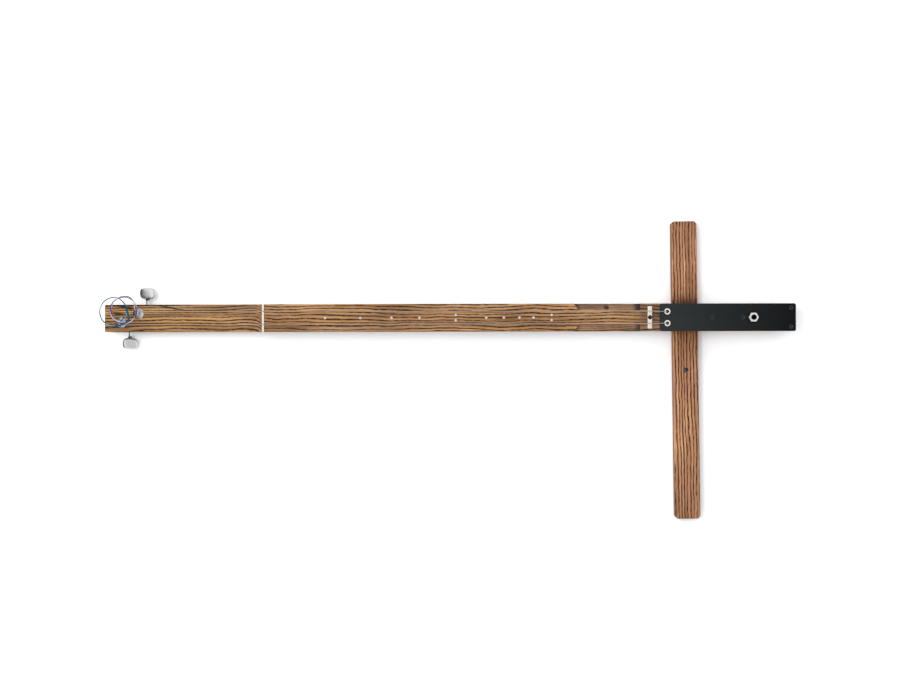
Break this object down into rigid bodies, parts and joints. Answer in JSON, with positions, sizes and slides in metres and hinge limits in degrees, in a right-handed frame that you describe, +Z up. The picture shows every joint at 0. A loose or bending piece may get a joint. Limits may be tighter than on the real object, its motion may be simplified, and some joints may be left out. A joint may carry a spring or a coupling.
{
  "type": "electro-acoustic stick instrument",
  "caption": "Long fretless wooden stick instrument with strings over a nut and bridge, machine heads, a black jack plate and a swivelling cross-bar leg rest.",
  "frame": {"origin": "middle of the underside of the whole instrument's box, without the free string tails, on the plane that the leg rest stands on", "axes": "+X along the stick from the machine heads to the jack end, +Y across the strings towards the first machine head's button, +Z up from the leg rest to the strings"},
  "size_m": [1.1164, 0.4844, 0.0618],
  "materials": {
    "toasted_ash": "thin satin oil over heat-darkened ash with open grain",
    "rest_ash": "thin satin oil over heat-darkened ash with open grain",
    "bone": "polished bone white",
    "pearl": "pinkish pearl inlay",
    "black_plate": "fine satin black",
    "black_steel": "black oxide",
    "nickel": "warm nickel plate",
    "chrome": "polished chrome plate",
    "brass": "machined brass",
    "black_nylon": "moulded nylon",
    "string_wire": "flat-wound metal wire",
    "ceramic": "piezo ceramic",
    "blue_silk": "silk thread wrapped over wire, blue with white",
    "purple_silk": "silk thread wrapped over wire, purple with white"
  },
  "bodies": {
    "instrument": {"stick": "toasted_ash", "nut": "bone", "bridge": "bone", "bridge_screw": "black_steel", "piezo_pickup": "ceramic", "pickup_lead": "black_nylon", "cover_plate": "black_plate", "jack_body": "nickel", "jack_washer": "black_nylon", "jack_nut": "nickel", "threaded_insert": "brass", "leg_rest_bolt": "black_steel", "bolt_washer": "nickel", "dot_3": "pearl", "dot_5": "pearl", "dot_7": "pearl", "dot_9": "pearl", "dot_12_upper": "pearl", "dot_12_lower": "pearl", "dot_15": "pearl", "dot_17": "pearl", "dot_19": "pearl", "dot_21": "pearl", "dot_24_upper": "pearl", "dot_24_lower": "pearl", "plate_screw_1": "black_steel", "plate_screw_2": "black_steel", "plate_screw_3": "black_steel", "plate_screw_4": "black_steel", "plate_screw_5": "black_steel", "top_ferrule_1": "nickel", "back_ferrule_1": "nickel", "string_1": "string_wire", "tuner_1_housing": "chrome", "tuner_1_mount_screw": "chrome", "tuner_1_bushing": "chrome", "tuner_1_washer": "chrome", "top_ferrule_2": "nickel", "back_ferrule_2": "nickel", "string_2": "string_wire", "tuner_2_housing": "chrome", "tuner_2_mount_screw": "chrome", "tuner_2_bushing": "chrome", "tuner_2_washer": "chrome"},
    "leg_rest": {"leg_rest": "rest_ash"},
    "tuner_1_shaft": {"tuner_1_worm_shaft": "chrome", "tuner_1_collar": "black_nylon", "tuner_1_button": "chrome", "tuner_1_button_screw": "chrome"},
    "tuner_1_post": {"tuner_1_post": "chrome", "tuner_1_wheel": "brass", "string_1_tail": "purple_silk"},
    "tuner_2_shaft": {"tuner_2_worm_shaft": "chrome", "tuner_2_collar": "black_nylon", "tuner_2_button": "chrome", "tuner_2_button_screw": "chrome"},
    "tuner_2_post": {"tuner_2_post": "chrome", "tuner_2_wheel": "brass", "string_2_tail": "blue_silk"}
  },
  "joints": [
    {"name": "leg_rest_swivel", "type": "hinge", "parent": "instrument", "child": "leg_rest", "pos_m": [0.3839, 0.08529, 0.0095], "axis": [0, 0, 1], "continuous": true},
    {"name": "tuner_1_button_turn", "type": "hinge", "parent": "instrument", "child": "tuner_1_shaft", "pos_m": [-0.4915, 0.09279, 0.0123], "axis": [0, 1, 0], "continuous": true},
    {"name": "tuner_1_post_turn", "type": "hinge", "parent": "instrument", "child": "tuner_1_post", "pos_m": [-0.5018, 0.09279, 0.0123], "axis": [0, 0, 1], "continuous": true},
    {"name": "tuner_2_button_turn", "type": "hinge", "parent": "instrument", "child": "tuner_2_shaft", "pos_m": [-0.5202, 0.07839, 0.0123], "axis": [0, -1, 0], "continuous": true},
    {"name": "tuner_2_post_turn", "type": "hinge", "parent": "instrument", "child": "tuner_2_post", "pos_m": [-0.5305, 0.07839, 0.0123], "axis": [0, 0, 1], "continuous": true}
  ],
  "couplings": [
    {"joint": "tuner_1_post_turn", "follows": "tuner_1_button_turn", "ratio": 0.071429},
    {"joint": "tuner_2_post_turn", "follows": "tuner_2_button_turn", "ratio": 0.071429}
  ]
}
